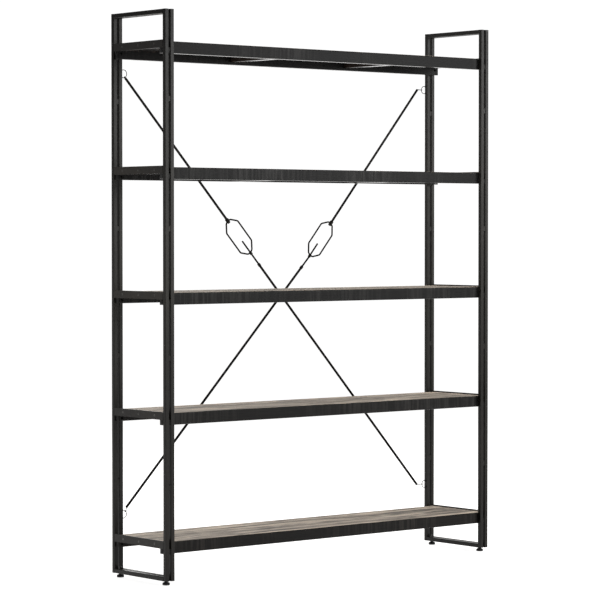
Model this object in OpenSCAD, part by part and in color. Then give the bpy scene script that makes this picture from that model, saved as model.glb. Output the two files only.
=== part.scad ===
// Bookcase with five shelves that clamp into slotted steel end frames, braced by two
// crossed rods with wire turnbuckles.
// Origin: on the floor, under the middle of the footprint. +Z up, +X to the right, +Y to the back.

/* [Overall] */

// Overall width over the outer faces of the end frames
body_w = 1400; // [1200:10:1600]
// Overall depth over the end frames
body_d = 290; // [260:5:340]
// Height of the welded end frames, without the levelling feet
frame_h = 1800; // [1750:10:1900]

/* [End frames] */

// Side of the square steel tube
tube = 14; // [12:1:16]
// Wall of the square steel tube
tube_wall = 1.5; // [1:0.25:2]
// Rounding of the tube's outside edges
tube_r = 1.6; // [0.8:0.2:2]
// Open slot between the two tubes of a pair
slot_w = 7; // [7:0.5:9]
// Height of the spacer blocks welded in the slots
spacer_h = 16; // [10:1:24]
// Height of the lowest spacer block above the frame's foot
spacer_first = 295; // [280:5:310]
// Distance from one spacer block to the next
spacer_pitch = 408; // [400:2:414]

/* [Feet] */

// Standing height of a levelling foot, screwed right in
foot_h = 14; // [10:1:20]
// Diameter of a foot's pad
foot_pad_d = 24; // [18:1:28]
// Diameter of a foot's threaded stud
foot_stud_d = 8; // [6:1:8]
// How far a foot stands in from the frame's front or back face
foot_inset = 22; // [20:1:30]

/* [Shelves] */

// Height of each shelf's top above the frame's foot, lowest shelf first
shelf_z = [123, 530, 909, 1305, 1700];
// Thickness of the shelf board
board_t = 20; // [18:1:22]
// Height of the rails along a shelf's front and back edges
apron_h = 38; // [36:1:42]
// Height of the top shelf's back rail, which is deeper than the others
top_back_apron_h = 46; // [38:1:50]
// Thickness of the front and back rails
apron_t = 22; // [18:1:26]
// Thickness of the steel strap across a shelf's end
strap_t = 4; // [3:0.5:5]
// Height of the end strap
strap_h = 25; // [22:1:28]
// How far the end strap stands above the board
strap_lip = 4; // [2:0.5:6]
// Distance between the strap's screws
screw_pitch = 85; // [70:5:90]
// Width of a batten under the board
batten_w = 36; // [30:2:80]
// Middle of the left batten, from the shelf's middle
batten_left = -224; // [-400:2:-100]
// Middle of the right batten, from the shelf's middle
batten_right = 273; // [100:1:400]

/* [Brace] */

// Diameter of the brace rods
rod_d = 8.2; // [6:0.2:8.6]
// Diameter of the threaded stud that runs in a turnbuckle
stud_d = 5.5; // [4:0.5:6]
// Wire diameter of a turnbuckle's loop
loop_wire = 5.5; // [4:0.5:6]
// Distance between the two apexes of a turnbuckle's loop
loop_len = 148; // [140:2:160]
// Half the width of a turnbuckle's loop, at the wire's centre
loop_half_w = 31.5; // [26:0.5:34]
// Outside diameter of the wire rings that hold the brace to the uprights
ring_d = 28; // [27:0.5:29]
// Wire diameter of the rings
ring_wire = 2.4; // [2:0.2:2.6]

/* [Show] */

// Which sub-part to draw

/* [Hidden] */

$fn = 48;
eps = 0.02;
half_w = body_w / 2;
half_d = body_d / 2;
pair_w = 2 * tube + slot_w;
slot_x = half_w - pair_w / 2;
inner_y = half_d - tube;
frame_top = foot_h + frame_h;
tube_in = tube - 2 * tube_wall;

// shelves, between the front and back uprights
shelf_gap = 0.5;
shelf_d = 2 * (inner_y - shelf_gap);
board_l = body_w - 2 * strap_t;
board_d = shelf_d - 2 * apron_t;
tongue = 8;
tongue_t = 7;
tongue_gap = 0.1;

// slot clamps
clamp_w = slot_w - 0.4;
clamp_h = 16;
clamp_l = 12.5;
clamp_down = 29;
bolt_d = 4;
wedge_d = 6.2;

// strap screws
screw_d = 4;
screw_head_d = 8;
screw_len = 30;

// spacer blocks and feet
spacer_l = 11;
spacer_in = 1.5;
bush_d = 12;
foot_y = half_d - foot_inset;

// the rings pass through the walls of the back inner uprights
ring_r = (ring_d - ring_wire) / 2;
ring_out = 7;
ring_x = half_w - pair_w - ring_out;
ring_chord = sqrt(pow(ring_r, 2) - pow(ring_out + tube_wall / 2, 2));
ring_hole_d = 4.8;
// brace ends: [ring's x, ring's z, angle round the ring of the rod's eye, x and z where the rod starts]
end_ul = [-ring_x, foot_h + 1609.7, -65.6, -650.4, foot_h + 1595.8];
end_lr = [ring_x, foot_h + 203, 180, 620.3, foot_h + 203.5];
end_ur = [ring_x, foot_h + 1602, 180, 628.4, foot_h + 1602.6];
end_ll = [-ring_x, foot_h + 186.7, 46, -643.5, foot_h + 208];
// upper apex of each turnbuckle, where its rod's head sits
knot_a = [-232.9, foot_h + 1138.3];
knot_b = [227.5, foot_h + 1131];
// the two braces lie one behind the other
brace_y_a = inner_y + 0.3 + rod_d / 2;
brace_y_b = brace_y_a + rod_d + 0.2;
ring_y_a = brace_y_a;
ring_y_b = brace_y_b - 2.9;
eye_r = 3;
eye_wire = 2.2;
collar_d = 10.6;
collar_l = 9;
collar_down = 54;
bend_down = 9;
head_d = 11;
head_l = 4;
socket_d = 13;
socket_l = 12;
nut_d = 11;
nut_l = 10;
stud_in = 54;
knuckle = 0.8;
run_gap = 0.06;

// ---- shared shapes ----

// a rounded square bar of length l standing on z = 0, centred on the axis
module square_bar(side, r, l) {
    c = side / 2 - r;
    translate([-side / 2, -c, 0]) cube([side, 2 * c, l]);
    translate([-c, -side / 2, 0]) cube([2 * c, side, l]);
    for (x = [-c, c], y = [-c, c]) translate([x, y, 0]) cylinder(r = r, h = l);
}

// square tube, open at both ends
module square_tube(l) {
    difference() {
        square_bar(tube, tube_r, l);
        translate([-tube_in / 2, -tube_in / 2, -1]) cube([tube_in, tube_in, l + 2]);
    }
}

// the two upright tubes of one loop at both ends of the bookcase, x is the tube's centre
module upright_set(x) {
    for (sx = [-1, 1], sy = [-1, 1])
        translate([sx * x, sy * (half_d - tube / 2), foot_h]) square_tube(frame_h);
}

// the cross tubes between front and back uprights, z is the tube's centre
module rail_set(z) {
    for (sx = [-1, 1], x = [half_w - tube / 2, half_w - pair_w + tube / 2])
        translate([sx * x, -inner_y, z]) rotate([-90, 0, 0]) square_tube(2 * inner_y);
}

// a straight round bar in an XZ plane, from [x, z] to [x, z]
module bar_xz(p, q, y, d) {
    v = q - p;
    translate([p[0], y, p[1]]) rotate([0, atan2(v[0], v[1]), 0]) cylinder(d = d, h = norm(v));
}

// unit vector from p to q, and the point a distance s along it
function dir(p, q) = (q - p) / norm(q - p);
function along(p, q, s) = p + dir(p, q) * s;
function rod_pt(e) = [e[3], e[4]];
function eye_pt(e, r) = [e[0] + r * cos(e[2]), e[1] + r * sin(e[2])];

// a straight round bar between any two points
module bar(p, q, d) {
    v = q - p;
    translate(p) rotate([0, acos(v[2] / norm(v)), atan2(v[1], v[0])]) cylinder(d = d, h = norm(v));
}

// a wire ring that stands upright along the bookcase, half inside the upright's tube
module ring(e, y) {
    translate([e[0], y, e[1]]) rotate([90, 0, 0])
        rotate_extrude() translate([ring_r, 0]) circle(d = ring_wire);
}

// the rod's drawn-out end: a wire shank and the eye that hooks round the ring
module rod_eye(e, y_rod, y_ring) {
    c = eye_pt(e, ring_r);
    q = eye_pt(e, ring_r + eye_r);
    translate([c[0], y_ring, c[1]]) rotate([0, -e[2], 0])
        rotate_extrude() translate([eye_r, 0]) circle(d = eye_wire);
    bar([e[3], y_rod, e[4]], [q[0], y_ring, q[1]], eye_wire + 0.3);
}

// upper rod: eye, straight shank, riveted head inside the turnbuckle
module upper_rod(e, knot, y, y_ring) {
    b = rod_pt(e);
    bar_xz(b, along(knot, b, -socket_l / 2 - 0.3 - head_l / 2), y, rod_d);
    bar_xz(along(knot, b, -socket_l / 2 - 0.3), along(knot, b, -socket_l / 2 - 0.3 - head_l),
        y, head_d);
    rod_eye(e, y, y_ring);
}

// lower rod: eye, straight shank, collar, thinner shank, and past a slight bend the threaded stud in the loop
module lower_rod(e_up, knot, e_low, y, y_ring) {
    up = rod_pt(e_up);
    low = rod_pt(e_low);
    nut = along(knot, up, -loop_len);
    bend = along(nut, up, -bend_down);
    collar = along(bend, low, collar_down - bend_down);
    bar_xz(low, collar, y, rod_d);
    bar_xz(along(collar, low, -collar_l / 2), along(collar, low, collar_l / 2), y, collar_d);
    bar_xz(collar, along(bend, collar, -2), y, stud_d + 0.4);
    bar_xz(along(bend, up, -2), along(nut, up, stud_in), y, stud_d);
    rod_eye(e_low, y, y_ring);
}

// wire path of one side of the turnbuckle: [across, along from the upper apex]
loop_path = [[0, 2.5], [11, 5], [loop_half_w, 30], [loop_half_w, loop_len - 30],
    [11, loop_len - 5], [0, loop_len - 2.5]];

// turnbuckle: a wire loop with a smooth socket at one apex and a threaded nut at the other
module turnbuckle(e_up, knot, y) {
    up = rod_pt(e_up);
    v = knot - up;
    translate([knot[0], y, knot[1]]) rotate([0, atan2(v[0], v[1]), 0]) difference() {
        union() {
            translate([0, 0, -socket_l / 2]) cylinder(d = socket_d, h = socket_l);
            translate([0, 0, loop_len - nut_l / 2]) cylinder(d = nut_d, h = nut_l);
            for (s = [-1, 1]) {
                for (i = [0:4]) loop_seg(loop_path[i], loop_path[i + 1], s);
                for (i = [1:4]) translate([s * loop_path[i][0], 0, loop_path[i][1]])
                    sphere(d = loop_wire + knuckle);
            }
        }
        translate([0, 0, -40]) cylinder(d = rod_d + 2 * run_gap, h = 40 + socket_l / 2 + 0.01);
        translate([0, 0, socket_l / 2]) cylinder(d = head_d + 1, h = head_l + 1);
        translate([0, 0, loop_len - stud_in]) cylinder(d = stud_d + 2 * run_gap, h = stud_in + 20);
    }
}

module loop_seg(a, b, s) {
    v = b - a;
    translate([s * a[0], 0, a[1]]) rotate([0, atan2(s * v[0], v[1]), 0])
        cylinder(d = loop_wire, h = norm(v));
}

// ---- end frames ----

module outer_uprights() color([0.17, 0.17, 0.16]) upright_set(half_w - tube / 2);

// the back ones are drilled for the brace rings
module inner_uprights() color([0.18, 0.18, 0.17]) difference() {
    upright_set(half_w - pair_w + tube / 2);
    for (e = [end_ul, end_ll, end_ur, end_lr], s = [-1, 1])
        translate([sign(e[0]) * (half_w - pair_w - 1),
            e == end_ul || e == end_lr ? ring_y_a : ring_y_b, e[1] + s * ring_chord])
            rotate([0, 90 * sign(e[0]), 0]) cylinder(d = ring_hole_d, h = tube_wall + 3);
}

module top_rails() color([0.19, 0.19, 0.18]) rail_set(frame_top - tube / 2);

// the bottom rails are drilled through the slot for the foot bushes
module bottom_rails() color([0.19, 0.19, 0.18]) difference() {
    rail_set(foot_h + tube / 2);
    for (sx = [-1, 1], sy = [-1, 1])
        translate([sx * slot_x, sy * foot_y, foot_h - 1]) cylinder(d = bush_d, h = tube + 2);
}

// flush steel plugs in both ends of every upright
module tube_caps() color([0.13, 0.13, 0.13])
    for (sx = [-1, 1], x = [half_w - tube / 2, half_w - pair_w + tube / 2], sy = [-1, 1],
         z = [foot_h, frame_top - 5])
        translate([sx * x - tube_in / 2, sy * (half_d - tube / 2) - tube_in / 2, z])
            cube([tube_in, tube_in, 5]);

// blocks welded in the slots: four in each upright pair, two in each top rail pair
module slot_spacers() color([0.22, 0.22, 0.21]) {
    for (sx = [-1, 1], sy = [-1, 1], i = [0:3])
        translate([sx * slot_x - slot_w / 2,
            sy > 0 ? half_d - spacer_in - spacer_l : -half_d + spacer_in,
            foot_h + spacer_first + i * spacer_pitch - spacer_h / 2])
            cube([slot_w, spacer_l, spacer_h]);
    for (sx = [-1, 1], sy = [-1, 1])
        translate([sx * slot_x - slot_w / 2, sy * 70 - 10, frame_top - 1.5 - spacer_l])
            cube([slot_w, 20, spacer_l]);
}

// threaded bushes welded through the bottom rail pairs
module foot_bushes() color([0.25, 0.25, 0.24])
    for (sx = [-1, 1], sy = [-1, 1])
        translate([sx * slot_x, sy * foot_y, foot_h]) difference() {
            cylinder(d = bush_d, h = tube);
            translate([0, 0, -1]) cylinder(d = foot_stud_d + 2 * run_gap, h = tube + 2);
        }

module foot(sx, sy) color([0.08, 0.08, 0.08])
    translate([sx * slot_x, sy * foot_y, 0]) {
        cylinder(d1 = foot_pad_d - 2, d2 = foot_pad_d, h = 2);
        translate([0, 0, 2]) cylinder(d = foot_pad_d, h = foot_h * 0.4);
        translate([0, 0, 2 + foot_h * 0.4]) cylinder(d1 = foot_pad_d, d2 = 13, h = 2);
        cylinder(d = 12, h = foot_h);
        cylinder(d = foot_stud_d, h = foot_h + tube + 8);
    }

module foot_front_left() foot(-1, -1);
module foot_front_right() foot(1, -1);
module foot_rear_left() foot(-1, 1);
module foot_rear_right() foot(1, 1);

// ---- cross brace ----

// wire rings through the back inner uprights
module brace_rings() color([0.3, 0.3, 0.29]) {
    ring(end_ul, ring_y_a);
    ring(end_lr, ring_y_a);
    ring(end_ur, ring_y_b);
    ring(end_ll, ring_y_b);
}

module brace_a_upper_rod() color([0.2, 0.2, 0.19]) upper_rod(end_ul, knot_a, brace_y_a, ring_y_a);
module brace_a_lower_rod() color([0.2, 0.2, 0.19])
    lower_rod(end_ul, knot_a, end_lr, brace_y_a, ring_y_a);
module brace_b_upper_rod() color([0.2, 0.2, 0.19]) upper_rod(end_ur, knot_b, brace_y_b, ring_y_b);
module brace_b_lower_rod() color([0.2, 0.2, 0.19])
    lower_rod(end_ur, knot_b, end_ll, brace_y_b, ring_y_b);
module turnbuckle_a() color([0.26, 0.26, 0.25]) turnbuckle(end_ul, knot_a, brace_y_a);
module turnbuckle_b() color([0.26, 0.26, 0.25]) turnbuckle(end_ur, knot_b, brace_y_b);

// ---- shelves, i = 0 for the lowest ----

function top_of(i) = foot_h + shelf_z[i];
function clamp_z(i) = top_of(i) - clamp_down;

// the board, with a tongue along both long edges and screw holes in both ends
module board(i) color([0.55, 0.51, 0.46]) translate([0, 0, top_of(i)]) difference() {
    union() {
        translate([-board_l / 2, -board_d / 2, -board_t]) cube([board_l, board_d, board_t]);
        translate([-board_l / 2, -board_d / 2 - tongue, -board_t / 2 - tongue_t / 2])
            cube([board_l, board_d + 2 * tongue, tongue_t]);
    }
    for (s = [-1, 1], y = [-1, 0, 1])
        translate([s * board_l / 2, y * screw_pitch, strap_lip - strap_h / 2]) rotate([0, 90, 0])
            cylinder(d = screw_d, h = 2 * (screw_len - strap_t), center = true);
}

// a rail along the shelf's edge, grooved for the board's tongue; side is -1 front, 1 back
module apron(i, side, h) color([0.2, 0.2, 0.2]) translate([0, 0, top_of(i)]) difference() {
    translate([-board_l / 2, side > 0 ? board_d / 2 : -board_d / 2 - apron_t, -h])
        cube([board_l, apron_t, h]);
    translate([-board_l / 2 - 1, side > 0 ? board_d / 2 - 1 : -board_d / 2 - tongue - tongue_gap,
        -board_t / 2 - tongue_t / 2 - tongue_gap])
        cube([board_l + 2, tongue + tongue_gap + 1, tongue_t + 2 * tongue_gap]);
    for (s = [-1, 1]) translate([s * slot_x, side * shelf_d / 2, -clamp_down]) rotate([90, 0, 0])
        cylinder(d = bolt_d + 0.5, h = 3 * apron_t, center = true);
}

// two flat battens across the underside
module battens(i) color([0.5, 0.42, 0.34])
    for (x = [batten_left, batten_right])
        translate([x - batten_w / 2, -board_d / 2, top_of(i) - apron_h + 0.5])
            cube([batten_w, board_d, apron_h - board_t - 0.5]);

// steel straps screwed across both ends
module straps(i) color([0.19, 0.19, 0.18])
    for (s = [-1, 1]) difference() {
        translate([s > 0 ? board_l / 2 : -board_l / 2 - strap_t, -shelf_d / 2,
            top_of(i) + strap_lip - strap_h]) cube([strap_t, shelf_d, strap_h]);
        for (y = [-1, 0, 1])
            translate([s * half_w, y * screw_pitch, top_of(i) + strap_lip - strap_h / 2])
                rotate([0, -90 * s, 0]) {
                    translate([0, 0, -1]) cylinder(d = screw_d, h = strap_t + 2);
                    cylinder(d1 = screw_head_d, d2 = screw_d, h = (screw_head_d - screw_d) / 2);
                }
    }

// countersunk screws, flush with the straps
module strap_screws(i) color([0.33, 0.33, 0.32])
    for (s = [-1, 1], y = [-1, 0, 1])
        translate([s * half_w, y * screw_pitch, top_of(i) + strap_lip - strap_h / 2])
            rotate([0, -90 * s, 0]) difference() {
                union() {
                    cylinder(d1 = screw_head_d, d2 = screw_d, h = (screw_head_d - screw_d) / 2);
                    cylinder(d = screw_d, h = screw_len - 3);
                    translate([0, 0, screw_len - 3]) cylinder(d1 = screw_d, d2 = 0.8, h = 3);
                }
                for (a = [0, 90]) rotate([0, 0, a]) translate([-2, -0.4, -0.1]) cube([4, 0.8, 1.1]);
            }

// split clamp blocks that sit in the uprights' slots, each spread by a wedge nut
module slot_clamps(i) color([0.3, 0.3, 0.3])
    for (sx = [-1, 1], sy = [-1, 1])
        translate([sx * slot_x, sy * shelf_d / 2, clamp_z(i)]) rotate([-90 * sy, 0, 0]) {
            difference() {
                translate([-clamp_w / 2, -clamp_h / 2, 0]) cube([clamp_w, clamp_h, clamp_l]);
                translate([0, 0, -1]) cylinder(d = bolt_d + 0.3, h = clamp_l + 2);
                translate([0, 0, clamp_l - 4]) cylinder(d1 = bolt_d + 0.4, d2 = wedge_d + 0.2, h = 4.01);
                translate([-0.5, -clamp_h / 2 - 1, 4]) cube([1, clamp_h + 2, clamp_l]);
            }
            difference() {
                translate([0, 0, clamp_l - 3.6]) cylinder(d1 = bolt_d + 0.4, d2 = wedge_d, h = 3.6);
                translate([0, 0, 0]) cylinder(d = bolt_d + 0.1, h = clamp_l + 2);
            }
        }

// socket screws that draw the wedge nuts in, worked from under the shelf
module clamp_screws(i) color([0.33, 0.33, 0.32])
    for (sx = [-1, 1], sy = [-1, 1])
        translate([sx * slot_x, sy * (shelf_d / 2 - apron_t), clamp_z(i)]) rotate([-90 * sy, 0, 0]) {
            difference() {
                translate([0, 0, -5]) cylinder(d = 7, h = 4);
                translate([0, 0, -5.1]) cylinder(d = 3.4, h = 2.2, $fn = 6);
            }
            translate([0, 0, -1]) cylinder(d = 9, h = 1);
            translate([0, 0, -1.01]) cylinder(d = bolt_d, h = apron_t + clamp_l + 0.6);
        }

module shelf_1_board() board(0);
module shelf_1_front_apron() apron(0, -1, apron_h);
module shelf_1_back_apron() apron(0, 1, apron_h);
module shelf_1_battens() battens(0);
module shelf_1_end_straps() straps(0);
module shelf_1_strap_screws() strap_screws(0);
module shelf_1_slot_clamps() slot_clamps(0);
module shelf_1_clamp_screws() clamp_screws(0);

module shelf_2_board() board(1);
module shelf_2_front_apron() apron(1, -1, apron_h);
module shelf_2_back_apron() apron(1, 1, apron_h);
module shelf_2_battens() battens(1);
module shelf_2_end_straps() straps(1);
module shelf_2_strap_screws() strap_screws(1);
module shelf_2_slot_clamps() slot_clamps(1);
module shelf_2_clamp_screws() clamp_screws(1);

module shelf_3_board() board(2);
module shelf_3_front_apron() apron(2, -1, apron_h);
module shelf_3_back_apron() apron(2, 1, apron_h);
module shelf_3_battens() battens(2);
module shelf_3_end_straps() straps(2);
module shelf_3_strap_screws() strap_screws(2);
module shelf_3_slot_clamps() slot_clamps(2);
module shelf_3_clamp_screws() clamp_screws(2);

module shelf_4_board() board(3);
module shelf_4_front_apron() apron(3, -1, apron_h);
module shelf_4_back_apron() apron(3, 1, apron_h);
module shelf_4_battens() battens(3);
module shelf_4_end_straps() straps(3);
module shelf_4_strap_screws() strap_screws(3);
module shelf_4_slot_clamps() slot_clamps(3);
module shelf_4_clamp_screws() clamp_screws(3);

module shelf_5_board() board(4);
module shelf_5_front_apron() apron(4, -1, apron_h);
module shelf_5_back_apron() apron(4, 1, top_back_apron_h);
module shelf_5_battens() battens(4);
module shelf_5_end_straps() straps(4);
module shelf_5_strap_screws() strap_screws(4);
module shelf_5_slot_clamps() slot_clamps(4);
module shelf_5_clamp_screws() clamp_screws(4);

// ---- draw ----

outer_uprights();
inner_uprights();
top_rails();
bottom_rails();
tube_caps();
slot_spacers();
foot_bushes();
brace_rings();
brace_a_upper_rod();
brace_a_lower_rod();
brace_b_upper_rod();
brace_b_lower_rod();
turnbuckle_a();
turnbuckle_b();
foot_front_left();
foot_front_right();
foot_rear_left();
foot_rear_right();
shelf_1_board();
shelf_1_front_apron();
shelf_1_back_apron();
shelf_1_battens();
shelf_1_end_straps();
shelf_1_strap_screws();
shelf_1_slot_clamps();
shelf_1_clamp_screws();
shelf_2_board();
shelf_2_front_apron();
shelf_2_back_apron();
shelf_2_battens();
shelf_2_end_straps();
shelf_2_strap_screws();
shelf_2_slot_clamps();
shelf_2_clamp_screws();
shelf_3_board();
shelf_3_front_apron();
shelf_3_back_apron();
shelf_3_battens();
shelf_3_end_straps();
shelf_3_strap_screws();
shelf_3_slot_clamps();
shelf_3_clamp_screws();
shelf_4_board();
shelf_4_front_apron();
shelf_4_back_apron();
shelf_4_battens();
shelf_4_end_straps();
shelf_4_strap_screws();
shelf_4_slot_clamps();
shelf_4_clamp_screws();
shelf_5_board();
shelf_5_front_apron();
shelf_5_back_apron();
shelf_5_battens();
shelf_5_end_straps();
shelf_5_strap_screws();
shelf_5_slot_clamps();
shelf_5_clamp_screws();
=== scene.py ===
"""The looks of the bookcase with adjustable shelves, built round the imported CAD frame."""

import math

import bpy
import numpy as np
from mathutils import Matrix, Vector


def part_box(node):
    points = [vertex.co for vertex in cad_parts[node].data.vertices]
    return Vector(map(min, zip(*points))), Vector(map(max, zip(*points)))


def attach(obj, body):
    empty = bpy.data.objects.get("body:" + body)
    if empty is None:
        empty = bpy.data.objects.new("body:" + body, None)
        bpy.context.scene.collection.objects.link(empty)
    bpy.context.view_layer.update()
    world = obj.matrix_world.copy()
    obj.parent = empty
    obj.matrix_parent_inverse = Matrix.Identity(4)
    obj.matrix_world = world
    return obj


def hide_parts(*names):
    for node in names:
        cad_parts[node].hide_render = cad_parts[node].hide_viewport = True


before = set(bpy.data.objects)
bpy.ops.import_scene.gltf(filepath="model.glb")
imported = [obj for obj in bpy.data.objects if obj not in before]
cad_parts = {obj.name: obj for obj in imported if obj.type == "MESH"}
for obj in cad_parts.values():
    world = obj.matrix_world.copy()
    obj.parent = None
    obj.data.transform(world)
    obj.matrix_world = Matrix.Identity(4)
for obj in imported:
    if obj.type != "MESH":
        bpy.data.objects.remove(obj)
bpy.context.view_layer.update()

# ---------------------------------------------------------------- sizes, mm
MM = 0.001
FOOT_H = 14.0
FRAME_H = 1800.0
HALF_W, HALF_D = 700.0, 145.0
TUBE, SLOT_W = 14.0, 7.0
INNER_Y = HALF_D - TUBE
SLOT_X = HALF_W - TUBE - SLOT_W / 2
TUBE_XS = (HALF_W - TUBE / 2, HALF_W - 1.5 * TUBE - SLOT_W)
FOOT_INSET = 22.0
FOOT_Y = HALF_D - FOOT_INSET
SPACER_LOW, SPACER_PITCH, SPACERS, SPACER_H = 295.0, 408.0, 4, 16.0
SPACER_ZS = [FOOT_H + SPACER_LOW + i * SPACER_PITCH for i in range(SPACERS)]
SPACER_FACE = HALF_D - 2.2
BODY_OF_FRAME = "frame"
SHELVES = range(1, 6)
PLANK_W = 54.25
SEAMS = (-PLANK_W, 0.0, PLANK_W)
SEAM_HALF = 1.3
TONGUE = 8.0
BATTENS = (-224.0, 273.0)
BATTEN_W = 36.0
END_ROUND = 0.7  # how far the ends of a piece of timber are eased
PLANED = 0.06  # how much of the surface relief is left on the planed undersides
DARKEST_DEPTH = 0.6  # relief this deep gets the full painted groove shade on the boards
SHARP = math.radians(40)  # edges of turned metal sharper than this stay sharp


# ---------------------------------------------------------------- mesh helpers
def piece(name, verts, faces, mats, body, face_mats=None, attr=None):
    """A new smooth-shaded object from vertices in mm, riding on a CAD body."""
    mesh = bpy.data.meshes.new(name)
    mesh.from_pydata((np.asarray(verts, float) * MM).tolist(), [], faces)
    for m in mats:
        mesh.materials.append(m)
    if face_mats is not None:
        mesh.polygons.foreach_set("material_index", np.asarray(face_mats, np.int32))
    mesh.polygons.foreach_set("use_smooth", [True] * len(mesh.polygons))
    if attr is not None:
        layer = mesh.attributes.new("relief", "FLOAT", "POINT")
        layer.data.foreach_set("value", np.asarray(attr, np.float32))
    mesh.update()
    obj = bpy.data.objects.new(name, mesh)
    bpy.context.scene.collection.objects.link(obj)
    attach(obj, body)
    return obj


def hash2(i, j, seed):
    """A repeatable value from 0 to 1 for each whole i and j."""
    s = np.sin(i * 127.1 + j * 311.7 + seed * 74.7) * 43758.5453
    return s - np.floor(s)


def value_noise(u, v, seed):
    """Smooth noise from 0 to 1, one cell per unit of u and v."""
    i, j = np.floor(u), np.floor(v)
    a, b = u - i, v - j
    a, b = a * a * (3 - 2 * a), b * b * (3 - 2 * b)
    low = hash2(i, j, seed) * (1 - a) + hash2(i + 1, j, seed) * a
    high = hash2(i, j + 1, seed) * (1 - a) + hash2(i + 1, j + 1, seed) * a
    return low * (1 - b) + high * b


def spread(a, b, step, extra=()):
    """Points from a to b about step apart, with some extra ones in between."""
    n = max(1, int(round((b - a) / step)))
    pts = list(np.linspace(a, b, n + 1)) + [e for e in extra if a < e < b]
    return np.array(sorted(set(round(p, 4) for p in pts)))


UNDER_STEP = 7.0  # the smooth underside needs no finer steps than this


def ring_section(v0, v1, w0, w1, r, sv, sw, seams=()):
    """A rounded rectangle round the bar's length: points and outward normals."""
    pts, nrm = [], []

    def side(vs, ws, n):
        for v, w in zip(vs, ws):
            pts.append((v, w))
            nrm.append(n)

    def corner(cv, cw, a0):
        for a in (30, 60):
            t = math.radians(a0 + a)
            n = (math.cos(t), math.sin(t))
            pts.append((cv + r * n[0], cw + r * n[1]))
            nrm.append(n)

    vs, ws = spread(v0 + r, v1 - r, sv, seams), spread(w0 + r, w1 - r, sw)
    low_vs = spread(v0 + r, v1 - r, max(sv, UNDER_STEP))
    side(low_vs, [w0] * len(low_vs), (0, -1))
    corner(v1 - r, w0 + r, 270)
    side([v1] * len(ws), ws, (1, 0))
    corner(v1 - r, w1 - r, 0)
    side(vs[::-1], [w1] * len(vs), (0, 1))
    corner(v0 + r, w1 - r, 90)
    side([v0] * len(ws), ws[::-1], (-1, 0))
    corner(v0 + r, w0 + r, 180)
    return np.array(pts), np.array(nrm)


def timber(name, lo, hi, steps, r, relief, mats, body, along="x", seams=(), top_mat=0,
           bottom_mat=0):
    """A piece of timber as one closed skin, with its surface relief cut into the box lo..hi.

    Its sides and ends have the first material; top_mat and bottom_mat pick those of the others."""
    lo, hi = list(lo), list(hi)
    if along == "y":
        lo[0], lo[1], hi[0], hi[1] = lo[1], lo[0], hi[1], hi[0]
    sec, nrm = ring_section(lo[1], hi[1], lo[2], hi[2], r, steps[1], steps[2], seams)
    us = spread(lo[0], hi[0], steps[0], (lo[0] + END_ROUND, hi[0] - END_ROUND))
    u, v = us[:, None], sec[None, :, 0]
    w, nv, nw = sec[None, :, 1], nrm[None, :, 0], nrm[None, :, 1]
    depth = relief(u + 0 * v, v + 0 * u, w + 0 * u, nv + 0 * u, nw + 0 * u)
    # the relief's depth from 0 to 1, kept on the mesh; the boards' material paints shade from it
    tone = np.clip(depth / DARKEST_DEPTH, 0, 1)
    depth[[0, -1]] += END_ROUND
    p = np.stack([u + 0 * v, v - nv * depth, w - nw * depth], -1)
    rings, n = p.shape[:2]
    grid = np.arange(rings * n).reshape(rings, n)
    a, b = grid[:-1], grid[1:]
    a2, b2 = np.roll(a, -1, 1), np.roll(b, -1, 1)
    quads = np.stack([a, a2, b2, b], -1).reshape(-1, 4)
    facing = (nrm[:, 1] + np.roll(nrm[:, 1], -1)) / 2
    marks = np.where(facing > 0.9, top_mat, np.where(facing < -0.9, bottom_mat, 0))
    marks = np.tile(marks, rings - 1)
    faces = [list(q) for q in quads] + [list(grid[0][::-1]), list(grid[-1])]
    marks = list(marks) + [0, 0]
    p = p.reshape(-1, 3)
    if along == "y":
        p = p[:, [1, 0, 2]]
    else:
        faces = [f[::-1] for f in faces]
    return piece(name, p, faces, mats, body, marks, tone.reshape(-1))


def lathe(profile, centre, axis_x, axis_y, axis_z, sides=32, wobble=None):
    """Vertices and faces turned round axis_z; profile is [(radius, height)...] from end to end."""
    verts, faces = [], []
    c, ax, ay, az = (np.array(q, float) for q in (centre, axis_x, axis_y, axis_z))
    for r, h in profile:
        for k in range(sides):
            t = 2 * math.pi * k / sides
            rr = r if wobble is None else wobble(r, h, t)
            verts.append(c + az * h + (ax * math.cos(t) + ay * math.sin(t)) * rr)
    for i in range(len(profile) - 1):
        for k in range(sides):
            q = (k + 1) % sides
            faces.append([i * sides + k, i * sides + q, (i + 1) * sides + q, (i + 1) * sides + k])
    return verts, faces


def join_parts(parts):
    """Several (vertices, faces) pairs as one pair."""
    verts, faces = [], []
    for v, f in parts:
        base = len(verts)
        verts += list(v)
        faces += [[base + k for k in q] for q in f]
    return verts, faces


def capped(shape, sides, rings):
    """A ringed shape with a flat face across both ends."""
    v, f = shape
    f = f + [list(range(sides))[::-1], [(rings - 1) * sides + k for k in range(sides)]]
    return v, f


def tube(path, radii, sides):
    """A round bar, with a radius for each point, along a path in one plane or on a line."""
    pts = [Vector(p) for p in path]
    n = len(pts)
    verts, faces = [], []
    normal = None
    for i, p in enumerate(pts):
        t = (pts[min(i + 1, n - 1)] - pts[max(i - 1, 0)]).normalized()
        if normal is None:
            normal = t.orthogonal().normalized()
        normal = (normal - t * normal.dot(t)).normalized()
        side = t.cross(normal)
        for k in range(sides):
            q = 2 * math.pi * k / sides
            verts.append(list(p + (normal * math.cos(q) + side * math.sin(q)) * radii[i]))
    for i in range(n - 1):
        for k in range(sides):
            q = (k + 1) % sides
            faces.append([i * sides + k, i * sides + q, (i + 1) * sides + q, (i + 1) * sides + k])
    return capped((verts, faces), sides, n)


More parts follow.
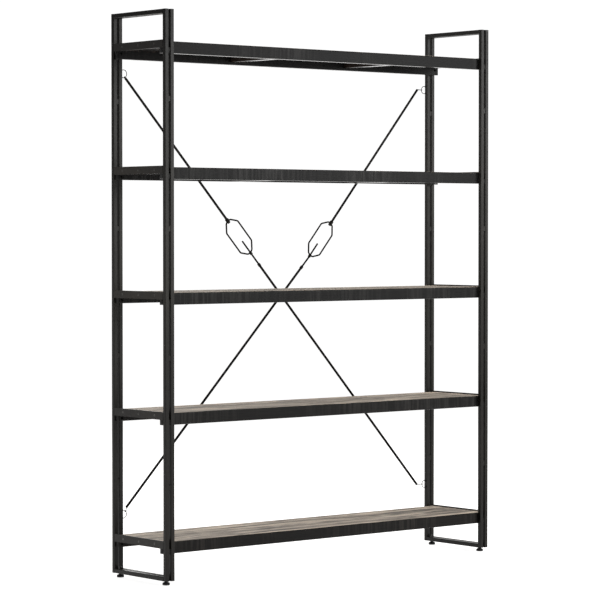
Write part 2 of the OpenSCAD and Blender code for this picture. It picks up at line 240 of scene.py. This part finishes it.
def rounded_path(points, radius, arc=6):
    """The open path through points with its corners bent to a radius, each in arc steps."""
    pts = [Vector(p) for p in points]
    out = [pts[0]]
    for a, b, c in zip(pts, pts[1:], pts[2:]):
        u, v = (a - b).normalized(), (c - b).normalized()
        half = u.angle(v) / 2
        cut = min(radius / math.tan(half), 0.45 * (a - b).length, 0.45 * (c - b).length)
        s, e = b + u * cut, b + v * cut
        for k in range(arc + 1):
            t = k / arc
            out.append(s * (1 - t) ** 2 + b * 2 * t * (1 - t) + e * t ** 2)
    out.append(pts[-1])
    return out


# ---------------------------------------------------------------- material helpers
class Shade:
    """Builds one procedural material round a Principled shader, in object coordinates."""

    def __init__(self, name, **constants):
        self.mat = bpy.data.materials.new(name)
        self.mat.use_nodes = True
        self.tree = self.mat.node_tree
        self.bsdf = self.tree.nodes["Principled BSDF"]
        for key, value in constants.items():
            self.bsdf.inputs[key.replace("_", " ")].default_value = value
        self.coords = self.tree.nodes.new("ShaderNodeTexCoord").outputs["Object"]

    def link(self, a, b):
        self.tree.links.new(a, b)

    def mapped(self, scale, source=None, turn=0.0):
        m = self.tree.nodes.new("ShaderNodeMapping")
        m.inputs["Scale"].default_value = scale
        m.inputs["Rotation"].default_value = (0, 0, turn)
        self.link(source or self.coords, m.inputs["Vector"])
        return m.outputs["Vector"]

    def noise(self, scale, detail=4.0, rough=0.55, source=None, distortion=0.0):
        n = self.tree.nodes.new("ShaderNodeTexNoise")
        n.inputs["Scale"].default_value = scale
        n.inputs["Detail"].default_value = detail
        n.inputs["Roughness"].default_value = rough
        n.inputs["Distortion"].default_value = distortion
        self.link(source or self.coords, n.inputs["Vector"])
        return n.outputs["Fac"]

    def ramp(self, fac, stops):
        r = self.tree.nodes.new("ShaderNodeValToRGB")
        e = r.color_ramp.elements
        while len(e) < len(stops):
            e.new(0.5)
        for slot, (at, colour) in zip(e, stops):
            c = (colour,) * 3 if isinstance(colour, float) else colour
            slot.position, slot.color = at, (*c, 1.0)
        self.link(fac, r.inputs["Fac"])
        return r.outputs["Color"]

    def mix(self, fac, a, b, kind="MIX"):
        m = self.tree.nodes.new("ShaderNodeMix")
        m.data_type, m.blend_type = "RGBA", kind
        for value, socket in ((fac, m.inputs[0]), (a, m.inputs[6]), (b, m.inputs[7])):
            if isinstance(value, (int, float)):
                socket.default_value = value
            elif isinstance(value, tuple):
                socket.default_value = (*value, 1.0)
            else:
                self.link(value, socket)
        return m.outputs[2]

    def math(self, kind, a, b=None):
        m = self.tree.nodes.new("ShaderNodeMath")
        m.operation = kind
        for value, socket in ((a, m.inputs[0]), (b, m.inputs[1])):
            if value is None:
                continue
            if isinstance(value, (int, float)):
                socket.default_value = value
            else:
                self.link(value, socket)
        return m.outputs[0]

    def split(self):
        s = self.tree.nodes.new("ShaderNodeSeparateXYZ")
        self.link(self.coords, s.inputs[0])
        return s.outputs

    def height(self):
        """0.55 of the height in metres, so that a ramp from 0 to 1 covers the whole bookcase."""
        return self.math("MULTIPLY", self.split()[2], 0.55)

    def attribute(self, name):
        a = self.tree.nodes.new("ShaderNodeAttribute")
        a.attribute_name = name
        return a.outputs["Fac"]

    def colour(self, source):
        self.link(source, self.bsdf.inputs["Base Color"])
        return self

    def rough(self, fac, low, high):
        m = self.tree.nodes.new("ShaderNodeMapRange")
        m.inputs["To Min"].default_value, m.inputs["To Max"].default_value = low, high
        self.link(fac, m.inputs["Value"])
        self.link(m.outputs["Result"], self.bsdf.inputs["Roughness"])
        return self

    def bump(self, height, distance, strength=1.0):
        b = self.tree.nodes.new("ShaderNodeBump")
        b.inputs["Distance"].default_value = distance
        b.inputs["Strength"].default_value = strength
        self.link(height, b.inputs["Height"])
        self.link(b.outputs["Normal"], self.bsdf.inputs["Normal"])
        return self


def coated_steel(name, dark, light, low, high, specular=0.22):
    """Black coated steel: pebbled skin, soft smears, rubbed specks; painted light and shade by
    height, browner near the floor.
    """
    s = Shade(name, Specular_IOR_Level=specular)
    cloud = s.noise(9.0, 5.0, 0.6, s.mapped((1, 1, 0.35)))
    base = s.mix(s.ramp(cloud, [(0.35, 0.0), (0.7, 1.0)]), dark, light)
    # painted light and shade by height: darker and browner near the floor, about four times
    # brighter from 1.1 to 1.5 m, darker again at the top
    painted_light_by_height = s.ramp(s.height(), [(0.0, (0.55, 0.49, 0.41)), (0.3, (0.75, 0.71, 0.65)),
                               (0.6, (2.2, 2.16, 2.07)), (0.82, (1.9, 1.87, 1.82)),
                               (0.97, (0.6, 0.59, 0.58))])
    base = s.mix(1.0, base, painted_light_by_height, "MULTIPLY")
    speck = s.ramp(s.noise(160.0, 2.0, 0.5), [(0.68, 0.0), (0.75, 1.0)])
    rub = s.ramp(s.noise(22.0, 3.0, 0.6), [(0.55, 0.0), (0.75, 0.6)])
    base = s.mix(s.mix(1.0, speck, rub, "MULTIPLY"), base, (0.11, 0.1, 0.09))
    s.colour(base)
    s.rough(s.noise(40.0, 4.0, 0.6), low, high)
    pebble = s.noise(900.0, 2.0, 0.5)
    dents = s.noise(60.0, 2.0, 0.5)
    s.bump(s.math("ADD", s.math("MULTIPLY", pebble, 0.5), dents), 0.00012, 0.55)
    return s.mat


def plank_coords(s):
    """Coordinates with their own shift, and a tone from 0 to 1, for each plank of each shelf."""
    shelves_per_metre = 3.3
    _, y, z = s.split()
    row = s.math("FLOOR", s.math("DIVIDE", y, PLANK_W * MM))
    level = s.math("FLOOR", s.math("MULTIPLY", z, shelves_per_metre))
    combine = s.tree.nodes.new("ShaderNodeCombineXYZ")
    s.link(row, combine.inputs[0])
    s.link(level, combine.inputs[1])
    white = s.tree.nodes.new("ShaderNodeTexWhiteNoise")
    s.link(combine.outputs[0], white.inputs["Vector"])
    shift = s.tree.nodes.new("ShaderNodeVectorMath")
    shift.operation = "ADD"
    s.link(s.coords, shift.inputs[0])
    s.link(white.outputs["Color"], shift.inputs[1])
    return shift.outputs[0], white.outputs["Value"]


def weathered_board(name, light, mid, dark):
    """Old bleached timber: long streaks, cathedral figure, dark pores, a tone for each plank,
    painted shade in its grooves.
    """
    s = Shade(name, Specular_IOR_Level=0.3)
    at, tone = plank_coords(s)
    figure = s.noise(3.2, 6.0, 0.62, s.mapped((0.9, 8, 8), at), 1.1)
    streak = s.noise(5.0, 6.0, 0.65, s.mapped((0.3, 15, 15), at), 0.3)
    grain = s.noise(7.0, 4.0, 0.6, s.mapped((0.5, 55, 55), at), 0.2)
    pores = s.noise(12.0, 3.0, 0.6, s.mapped((2.2, 110, 110), at))
    chevron = s.noise(2.6, 3.0, 0.55, s.mapped((3.0, 16.0, 1.0), turn=0.5), 0.5)
    base = s.ramp(streak, [(0.33, dark), (0.46, mid), (0.62, light)])
    for amount, fac, stops in (
            (1.0, figure, [(0.35, 0.22), (0.48, 0.86), (0.62, 1.15)]),
            (0.8, chevron, [(0.37, 0.3), (0.49, 1.0)]),
            (0.8, grain, [(0.34, 0.55), (0.6, 1.15)]),
            (0.85, pores, [(0.33, 0.45), (0.45, 1.0)]),
            (0.8, tone, [(0.0, (0.8, 0.79, 0.78)), (1.0, (1.15, 1.1, 1.04))]),
            # painted shade: the deeper the relief, the darker the board, down to 0.16 in the seams
            # between planks
            (1.0, s.attribute("relief"), [(0.3, 1.0), (0.9, 0.16)])):
        base = s.mix(amount, base, s.ramp(fac, stops), "MULTIPLY")
    s.colour(base)
    s.rough(streak, 0.6, 0.9)
    s.bump(s.math("ADD", streak, s.math("MULTIPLY", pores, 0.6)), 0.0005, 0.6)
    return s.mat


def stained_rail(name, dark, light, low, high):
    """Black-brown stained rail: saw marks across it, long fibres, paler rubbed high spots, painted
    light and shade by height.
    """
    s = Shade(name, Specular_IOR_Level=0.14)
    fibre = s.noise(8.0, 5.0, 0.65, s.mapped((1.2, 60, 60)), 0.4)
    saw = s.noise(72.0, 2.0, 0.5, s.mapped((1.6, 0.05, 0.08)))
    patch = s.noise(4.5, 2.0, 0.5, s.mapped((1, 0.2, 0.2)))
    base = s.mix(s.ramp(fibre, [(0.35, 0.0), (0.68, 1.0)]), dark, light)
    saw_mark = s.ramp(saw, [(0.42, 0.0), (0.62, 1.0)])
    where = s.ramp(patch, [(0.42, 0.0), (0.62, 0.85)])
    pale = tuple(2.9 * c for c in light)
    base = s.mix(s.mix(1.0, saw_mark, where, "MULTIPLY"), base, pale)
    # painted light and shade by height: rails darker on the low shelves, brightest near 1.35 m,
    # darker again on the top shelf
    rail_light_by_height = s.ramp(s.height(), [(0.05, (0.55, 0.5, 0.46)), (0.5, (0.85, 0.85, 0.85)),
                               (0.74, (1.08, 1.08, 1.09)), (0.93, (0.62, 0.62, 0.63))])
    base = s.mix(1.0, base, rail_light_by_height, "MULTIPLY")
    s.colour(base)
    s.rough(fibre, low, high)
    s.bump(s.math("ADD", fibre, s.math("MULTIPLY", saw, 0.7)), 0.0005, 0.7)
    return s.mat


def raw_timber(name, light, dark):
    """Unstained timber with its grain along the batten."""
    s = Shade(name, Specular_IOR_Level=0.25)
    streak = s.noise(6.0, 6.0, 0.6, s.mapped((60, 1.2, 60)), 0.4)
    ring = s.noise(3.0, 4.0, 0.6, s.mapped((18, 1.5, 18)), 1.2)
    base = s.mix(s.ramp(streak, [(0.3, 0.0), (0.62, 1.0)]), dark, light)
    s.colour(s.mix(0.6, base, s.ramp(ring, [(0.3, 0.6), (0.55, 1.05)]), "MULTIPLY"))
    s.rough(streak, 0.65, 0.88)
    s.bump(streak, 0.0005, 0.6)
    return s.mat


def oiled_underside(name, light, dark, low, high):
    """Planed, stained and oiled timber under the shelves: smooth enough to shine at a low angle."""
    s = Shade(name, Specular_IOR_Level=0.5)
    streak = s.noise(6.0, 5.0, 0.6, s.mapped((1.5, 30, 30)), 0.4)
    s.colour(s.mix(s.ramp(streak, [(0.3, 0.0), (0.65, 1.0)]), dark, light))
    s.rough(streak, low, high)
    s.bump(streak, 0.00001, 0.2)
    return s.mat


def moulded_plastic(name, tone):
    """Matt black plastic with a fine moulded skin."""
    s = Shade(name, Specular_IOR_Level=0.4)
    cloud = s.noise(120.0, 3.0, 0.6)
    s.colour(s.mix(s.ramp(cloud, [(0.4, 0.0), (0.65, 1.0)]), tone, tuple(1.9 * c for c in tone)))
    s.rough(cloud, 0.42, 0.62)
    s.bump(s.noise(1500.0, 2.0), 0.00008, 0.5)
    return s.mat


def plated_screw(name, dark, light):
    """Dull or blackened plating."""
    s = Shade(name, Metallic=0.85)
    cloud = s.noise(260.0, 3.0, 0.6)
    s.colour(s.mix(s.ramp(cloud, [(0.4, 0.0), (0.65, 1.0)]), dark, light))
    s.rough(cloud, 0.3, 0.55)
    s.bump(cloud, 0.00005, 0.4)
    return s.mat


STEEL = coated_steel("coated_frame_steel", (0.014, 0.0135, 0.0125), (0.026, 0.025, 0.023),
                     0.3, 0.46)
BRACE = coated_steel("coated_brace_steel", (0.006, 0.0058, 0.0055), (0.014, 0.0135, 0.013),
                     0.6, 0.8, 0.1)
STRAP = coated_steel("coated_strap_steel", (0.014, 0.0125, 0.011), (0.03, 0.026, 0.022),
                     0.4, 0.58, 0.35)
WELD = coated_steel("weld_bead_steel", (0.011, 0.0105, 0.01), (0.024, 0.023, 0.0215),
                    0.34, 0.5)
PLASTIC = moulded_plastic("foot_moulded_plastic", (0.008, 0.008, 0.008))
HIDDEN = plated_screw("blackened_clamp", (0.008, 0.008, 0.0075), (0.02, 0.02, 0.019))
SCREW = plated_screw("blackened_screw", (0.05, 0.05, 0.048), (0.17, 0.165, 0.155))
BOARD = weathered_board("weathered_board", (0.8, 0.69, 0.57), (0.55, 0.462, 0.37),
                        (0.085, 0.062, 0.046))
RAIL = stained_rail("stained_rail", (0.0075, 0.0073, 0.0072), (0.019, 0.0186, 0.018),
                    0.4, 0.58)
UNDER = oiled_underside("oiled_underside", (0.05, 0.032, 0.024), (0.02, 0.0135, 0.011),
                        0.06, 0.16)
BATTEN_SIDE = raw_timber("batten_side", (0.03, 0.019, 0.014), (0.012, 0.008, 0.006))


# ---------------------------------------------------------------- CAD nodes that stay
def paint(mat, *nodes):
    for node in nodes:
        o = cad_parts[node]
        o.data.materials.clear()
        o.data.materials.append(mat)


paint(STEEL, "outer_uprights", "inner_uprights", "top_rails", "bottom_rails", "tube_caps")
paint(WELD, "slot_spacers", "foot_bushes")
paint(BRACE, "brace_rings", "brace_a_upper_rod", "brace_a_lower_rod", "brace_b_upper_rod",
      "brace_b_lower_rod")
for k in SHELVES:
    paint(STRAP, f"shelf_{k}_end_straps")
    paint(SCREW, f"shelf_{k}_strap_screws")
    paint(HIDDEN, f"shelf_{k}_slot_clamps", f"shelf_{k}_clamp_screws")


# ---------------------------------------------------------------- shelves
def corners(node):
    """The low and high corners of a CAD node, in mm."""
    lo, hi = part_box(node)
    return [c / MM for c in lo], [c / MM for c in hi]


def on_corner(nv, nw):
    return (np.abs(nv) > 0.2) & (np.abs(nw) > 0.2)


def planed(nw):
    """How much relief a surface keeps: all of it, or little on the undersides."""
    return np.where(nw < -0.5, PLANED, 1.0)


# Each relief gives a depth in mm from a place along (u) and across (v, w) the grain and the
# outward normal (nv, nw) there.
def board_relief(seed):
    def relief(u, v, w, nv, nw):
        fine = 0.16 * value_noise(u / 55, v / 3.1, seed)
        fine = fine + 0.09 * value_noise(u / 22, v / 2.2, seed + 1)
        wide = 0.22 * value_noise(u / 260, v / 15, seed + 2)
        gap = sum(np.clip(1 - np.abs(v - s) / SEAM_HALF, 0, 1) for s in SEAMS)
        edge = 0.35 * value_noise(u / 30, 0 * v, seed + 3) * on_corner(nv, nw)
        return (fine + wide) * planed(nw) + 0.85 * gap * (np.abs(nw) > 0.9) + edge

    return relief


def rail_relief(seed):
    def relief(u, v, w, nv, nw):
        saw = value_noise(u / 6.5, 0 * v, seed) ** 2
        where = np.clip((value_noise(u / 150, 0 * v, seed + 1) - 0.35) * 3, 0.1, 1)
        fibre = 0.07 * value_noise(u / 45, (v + w) / 2.3, seed + 2)
        worn = 0.5 * value_noise(u / 24, 0 * v, seed + 3) ** 2
        edge = worn * on_corner(nv, nw) * np.where(nw < -0.2, 0.2, 1.0)
        return 0.28 * saw * where * (np.abs(nv) > 0.5) + fibre * planed(nw) + edge

    return relief


def batten_relief(seed):
    def relief(u, v, w, nv, nw):
        fine = 0.12 * value_noise(u / 50, v / 2.6, seed)
        return (fine + 0.1 * value_noise(u / 130, v / 14, seed + 1)) * planed(nw)

    return relief


SEAM_LINES = tuple(s + d for s in SEAMS for d in (-SEAM_HALF, 0.0, SEAM_HALF))

for k in SHELVES:
    body = f"shelf_{k}"
    lo, hi = corners(f"shelf_{k}_board")
    lo[1], hi[1] = lo[1] + TONGUE, hi[1] - TONGUE
    top = timber(f"shelf_{k}_planks", lo, hi, (12, 2.4, 5), 0.8, board_relief(10 * k),
                 (BOARD, UNDER), body, seams=SEAM_LINES, bottom_mat=1)
    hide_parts(f"shelf_{k}_board")
    for side, seed in (("front", 3), ("back", 6)):
        node = f"shelf_{k}_{side}_apron"
        lo, hi = corners(node)
        rail = timber(f"shelf_{k}_{side}_rail", lo, hi, (3.5, 4.5, 4.5), 1.1,
                      rail_relief(10 * k + seed), (RAIL, BOARD, UNDER), body,
                      top_mat=1, bottom_mat=2)
        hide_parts(node)
    lo, hi = corners(f"shelf_{k}_battens")
    for n, x in enumerate(BATTENS):
        a = (x - BATTEN_W / 2, lo[1], lo[2])
        b = (x + BATTEN_W / 2, hi[1], hi[2])
        strip = timber(f"shelf_{k}_batten_{n + 1}", a, b, (8, 2.6, 4), 1.2,
                       batten_relief(50 * k + n), (BATTEN_SIDE, UNDER), body,
                       along="y", bottom_mat=1)
        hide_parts(f"shelf_{k}_battens")


# ---------------------------------------------------------------- end frames: weld beads
BEAD_PITCH = 2.1
RAIL_BEAD = (5.2, 1.5)  # half length and radius
SPACER_BEAD = (3.2, 1.4)


def bead(at, half, radius):
    """A rippled weld bead along x, tapered at both ends."""
    n = max(4, int(2 * half / (BEAD_PITCH / 4)))
    path, radii = [], []
    for i in range(n + 1):
        along = 2 * half * i / n
        taper = min(1.0, 0.45 + min(i, n - i) / 4)
        ripple = 0.82 + 0.18 * abs(math.sin(math.pi * along / BEAD_PITCH))
        path.append((at[0] - half + along, at[1], at[2]))
        radii.append(radius * taper * ripple)
    return tube(path, radii, 8)


beads = []
for sx in (-1, 1):
    for sy in (-1, 1):
        for x in TUBE_XS:
            for z in (FOOT_H + TUBE, FOOT_H + FRAME_H - TUBE):
                beads.append(bead((sx * x, sy * INNER_Y, z), *RAIL_BEAD))
        for z in SPACER_ZS:
            for end in (-1, 1):
                at = (sx * SLOT_X, sy * SPACER_FACE, z + end * SPACER_H / 2)
                beads.append(bead(at, *SPACER_BEAD))
v, f = join_parts(beads)
piece("frame_weld_beads", v, f, (WELD,), BODY_OF_FRAME)


# ---------------------------------------------------------------- levelling feet
def thread_shape(h, t, pitch):
    """How far a thread stands out, from 0 to 1, at height h and angle t."""
    phase = (h / pitch - t / (2 * math.pi)) % 1.0
    return 1 - abs(2 * phase - 1)


PAD = [(0.4, 0.0), (9.8, 0.0), (11.0, 0.35), (11.7, 1.1), (12.0, 2.3), (12.0, 5.4), (11.75, 6.6),
       (11.1, 7.6), (9.9, 8.5), (8.2, 9.2), (6.9, 9.6)]
NECK = [(6.0, 9.4), (6.0, 13.2), (5.6, 13.9)]
STUD_R, STUD_TIP_R, STUD_LOW, STUD_TOP = 3.99, 3.2, 13.5, 35.9
THREAD_STEP = 0.2
STUD_THREAD = [(STUD_R, STUD_LOW + THREAD_STEP * i)
               for i in range(round((STUD_TOP - STUD_LOW) / THREAD_STEP))]
STUD_THREAD.append((STUD_TIP_R, STUD_TOP))


def foot_thread(r, h, t):
    pitch, depth, thread_top = 1.25, 0.5, 34.5
    return r - depth * thread_shape(h, t, pitch) if r == STUD_R and h < thread_top else r


def turned(profile, at, sides, wobble=None):
    """A capped shape turned round the vertical through at."""
    axes = ((1, 0, 0), (0, 1, 0), (0, 0, 1))
    return capped(lathe(profile, at, *axes, sides, wobble), sides, len(profile))


for name, sx, sy in (("front_left", -1, -1), ("front_right", 1, -1), ("rear_left", -1, 1),
                     ("rear_right", 1, 1)):
    at = (sx * SLOT_X, sy * FOOT_Y, 0.0)
    v, f = join_parts([turned(PAD, at, 48), turned(NECK, at, 6)])
    foot = piece(f"foot_{name}_pad", v, f, (PLASTIC,), f"foot_{name}_body")
    v, f = turned(STUD_THREAD, at, 20, foot_thread)
    bolt = piece(f"foot_{name}_bolt", v, f, (SCREW,), f"foot_{name}_body")
    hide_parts(f"foot_{name}")
    for o in (foot, bolt):
        o.data.set_sharp_from_angle(angle=SHARP)


# ---------------------------------------------------------------- brace: turnbuckles and threads
LOOP_LEN, LOOP_HALF_W, WIRE_R = 148.0, 31.5, 2.75
STUD_IN, COLLAR_DOWN, BEND_DOWN = 54.0, 54.0, 9.0
LOOP_BEND = 10.0
ROD_D, FRAME_GAP, ROD_GAP = 8.2, 0.3, 0.2
ROD_A_Y = INNER_Y + FRAME_GAP + ROD_D / 2
ROD_B_Y = ROD_A_Y + ROD_D + ROD_GAP
# socket at the upper apex and hexagon nut at the lower one, both bored through: (radius, height)
SOCKET = [(4.2, -6.0), (5.8, -6.0), (6.45, -5.3), (6.45, 5.3), (5.8, 6.0), (4.2, 6.0),
          (4.2, -6.0)]
NUT = [(2.85, -5.0), (4.9, -5.0), (5.75, -4.2), (5.75, 4.2), (4.9, 5.0), (2.85, 5.0),
       (2.85, -5.0)]
# half of the loop, as (across, down)
LOOP = [(0.0, 2.5), (11.0, 5.0), (LOOP_HALF_W, 30.0), (LOOP_HALF_W, LOOP_LEN - 30.0),
        (11.0, LOOP_LEN - 5.0), (0.0, LOOP_LEN - 2.5)]
# the upper rod's hooked end, the turnbuckle's upper apex, and the lower rod's hooked end, as (x, z)
BRACES = {
    "a": {"top": (-650.4, FOOT_H + 1595.8), "knot": (-232.9, FOOT_H + 1138.3),
          "foot": (620.3, FOOT_H + 203.5), "y": ROD_A_Y},
    "b": {"top": (628.4, FOOT_H + 1602.6), "knot": (227.5, FOOT_H + 1131.0),
          "foot": (-643.5, FOOT_H + 208.0), "y": ROD_B_Y},
}


def thread_run(centre, ax_u, ax_t, t0, t1, root):
    """A rolled thread along ax_t from t0 to t1 mm, over the plain stud of the CAD."""
    pitch, rise, step, lead, sides = 1.1, 0.3, 0.22, 0.1, 14

    def wobble(r, h, t):
        return r if r < root else root + rise * thread_shape(h, t, pitch)

    n = int((t1 - t0) / step)
    core, crest = root - 0.1, root + rise
    prof = [(core, t0)]
    prof += [(crest, t0 + lead + (t1 - t0 - 2 * lead) * i / n) for i in range(n + 1)]
    prof.append((core, t1))
    return capped(lathe(prof, centre, ax_u, (0, 1, 0), ax_t, sides, wobble), sides, len(prof))


for key, b in BRACES.items():
    knot, top, foot = Vector(b["knot"]), Vector(b["top"]), Vector(b["foot"])
    d = (knot - top).normalized()
    ax_t = (d[0], 0, d[1])
    ax_u = (d[1], 0, -d[0])
    centre = (knot[0], b["y"], knot[1])

    def place(u, t):
        return tuple(centre[i] + ax_u[i] * u + ax_t[i] * t for i in range(3))

    body = f"turnbuckle_{key}_body"
    parts = []
    for s in (-1, 1):
        path = rounded_path([place(s * u, t) for u, t in LOOP], LOOP_BEND)
        parts.append(tube(path, [WIRE_R] * len(path), 14))
    v, f = join_parts(parts)
    wire = piece(f"turnbuckle_{key}_wire", v, f, (BRACE,), body)
    v, f = join_parts([lathe(SOCKET, centre, ax_u, (0, 1, 0), ax_t, 32),
                       lathe(NUT, place(0, LOOP_LEN), ax_u, (0, 1, 0), ax_t, 6)])
    ends = piece(f"turnbuckle_{key}_socket_and_nut", v, f, (BRACE,), body)
    ends.data.set_sharp_from_angle(angle=SHARP)
    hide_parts(f"turnbuckle_{key}")
    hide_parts(f"turnbuckle_{key}")
    # rolled thread on the stud inside the loop and on the bent shank above the collar
    bend = knot + d * (LOOP_LEN + BEND_DOWN)
    e = (foot - bend).normalized()
    bent = ((bend[0], b["y"], bend[1]), (e[1], 0, -e[0]), (e[0], 0, e[1]))
    runs = [thread_run(centre, ax_u, ax_t, LOOP_LEN - STUD_IN + 0.6, LOOP_LEN - 5.4, 2.7),
            thread_run(*bent, 1.5, COLLAR_DOWN - BEND_DOWN - 5.0, 2.9)]
    v, f = join_parts(runs)
    piece(f"brace_{key}_stud_thread", v, f, (BRACE,), BODY_OF_FRAME)


# ---------------------------------------------------------------- floor, world, lights, camera
WALL_TOWARD = (0.64, 0.77, 0.0)
WALL_EDGE = (0.55, 0.9)
ROOM_LEVEL, WALL_LEVEL, SEEN_LEVEL = 0.16, 1.3, 1.05
FLOOR_HALF, FLOOR_GLOW = 20.0, 0.92


def stage_floor():
    """A pale floor that glows white to the camera and in reflections."""
    h = FLOOR_HALF
    mesh = bpy.data.meshes.new("floor")
    mesh.from_pydata([(-h, -h, 0), (h, -h, 0), (h, h, 0), (-h, h, 0)], [], [[0, 1, 2, 3]])
    floor = bpy.data.objects.new("floor", mesh)
    bpy.context.scene.collection.objects.link(floor)
    mat = bpy.data.materials.new("pale_floor")
    mat.use_nodes = True
    t = mat.node_tree
    t.nodes.clear()
    out = t.nodes.new("ShaderNodeOutputMaterial")
    plain = t.nodes.new("ShaderNodeBsdfDiffuse")
    plain.inputs["Color"].default_value = (0.5, 0.49, 0.48, 1)
    glow = t.nodes.new("ShaderNodeEmission")
    glow.inputs["Color"].default_value = (1, 1, 1, 1)
    glow.inputs["Strength"].default_value = FLOOR_GLOW
    seen = t.nodes.new("ShaderNodeAddShader")
    t.links.new(plain.outputs[0], seen.inputs[0])
    t.links.new(glow.outputs[0], seen.inputs[1])
    rays = t.nodes.new("ShaderNodeLightPath")
    either = t.nodes.new("ShaderNodeMath")
    either.operation = "MAXIMUM"
    t.links.new(rays.outputs["Is Camera Ray"], either.inputs[0])
    t.links.new(rays.outputs["Is Glossy Ray"], either.inputs[1])
    pick = t.nodes.new("ShaderNodeMixShader")
    t.links.new(either.outputs[0], pick.inputs[0])
    t.links.new(plain.outputs[0], pick.inputs[1])
    t.links.new(seen.outputs[0], pick.inputs[2])
    t.links.new(pick.outputs[0], out.inputs["Surface"])
    mesh.materials.append(mat)


def studio_world():
    """White to the camera; for the light, a dim room with a glowing wall behind the bookcase."""
    world = bpy.data.worlds.new("studio")
    bpy.context.scene.world = world
    world.use_nodes = True
    t = world.node_tree
    t.nodes.clear()
    out = t.nodes.new("ShaderNodeOutputWorld")
    lit = t.nodes.new("ShaderNodeBackground")
    seen = t.nodes.new("ShaderNodeBackground")
    seen.inputs["Color"].default_value = (1, 1, 1, 1)
    seen.inputs["Strength"].default_value = SEEN_LEVEL
    lit.inputs["Color"].default_value = (1, 0.99, 0.97, 1)
    toward = t.nodes.new("ShaderNodeVectorMath")
    toward.operation = "DOT_PRODUCT"
    toward.inputs[1].default_value = WALL_TOWARD
    t.links.new(t.nodes.new("ShaderNodeTexCoord").outputs["Generated"], toward.inputs[0])
    level = t.nodes.new("ShaderNodeMapRange")
    level.interpolation_type = "SMOOTHSTEP"
    limits = dict(zip(("From Min", "From Max", "To Min", "To Max"),
                      (*WALL_EDGE, ROOM_LEVEL, WALL_LEVEL)))
    for socket, value in limits.items():
        level.inputs[socket].default_value = value
    t.links.new(toward.outputs["Value"], level.inputs["Value"])
    t.links.new(level.outputs["Result"], lit.inputs["Strength"])
    pick = t.nodes.new("ShaderNodeMixShader")
    rays = t.nodes.new("ShaderNodeLightPath")
    t.links.new(rays.outputs["Is Camera Ray"], pick.inputs[0])
    t.links.new(lit.outputs[0], pick.inputs[1])
    t.links.new(seen.outputs[0], pick.inputs[2])
    t.links.new(pick.outputs[0], out.inputs["Surface"])


def softbox(name, at, aim, size, watts):
    """A rectangular light at one point, turned toward another."""
    data = bpy.data.lights.new(name, "AREA")
    data.shape, data.size, data.size_y = "RECTANGLE", size[0], size[1]
    data.energy = watts
    obj = bpy.data.objects.new(name, data)
    bpy.context.scene.collection.objects.link(obj)
    obj.location = at
    obj.rotation_euler = (Vector(aim) - Vector(at)).to_track_quat("-Z", "Y").to_euler()
    obj.visible_camera = False


def photo_camera():
    """A long lens from the front left, at chest height."""
    data = bpy.data.cameras.new("camera")
    cam = bpy.data.objects.new("camera", data)
    bpy.context.scene.collection.objects.link(cam)
    cam.location = (-5.6034, -6.7050, 1.1264)
    cam.rotation_euler = (math.radians(90 - 1.576), 0.0, math.radians(-39.73))
    data.sensor_width = 36.0
    data.lens = 156.5
    data.clip_start, data.clip_end = 0.1, 100.0
    bpy.context.scene.camera = cam


stage_floor()
studio_world()
softbox("right_front_softbox", (2.6, -3.0, 2.2), (0, 0, 1.5), (1.4, 1.4), 55)
softbox("front_fill_softbox", (1.5, -5.0, 1.4), (0, 0, 1.3), (3.0, 2.0), 34)
softbox("overhead_softbox", (0.6, 0, 4.0), (0, 0, 0), (3.2, 2.2), 105)
softbox("rear_softbox", (0.8, 4.6, 2.4), (0, 0, 1.0), (3.2, 2.0), 120)
photo_camera()
bpy.context.scene.view_settings.view_transform = "Standard"
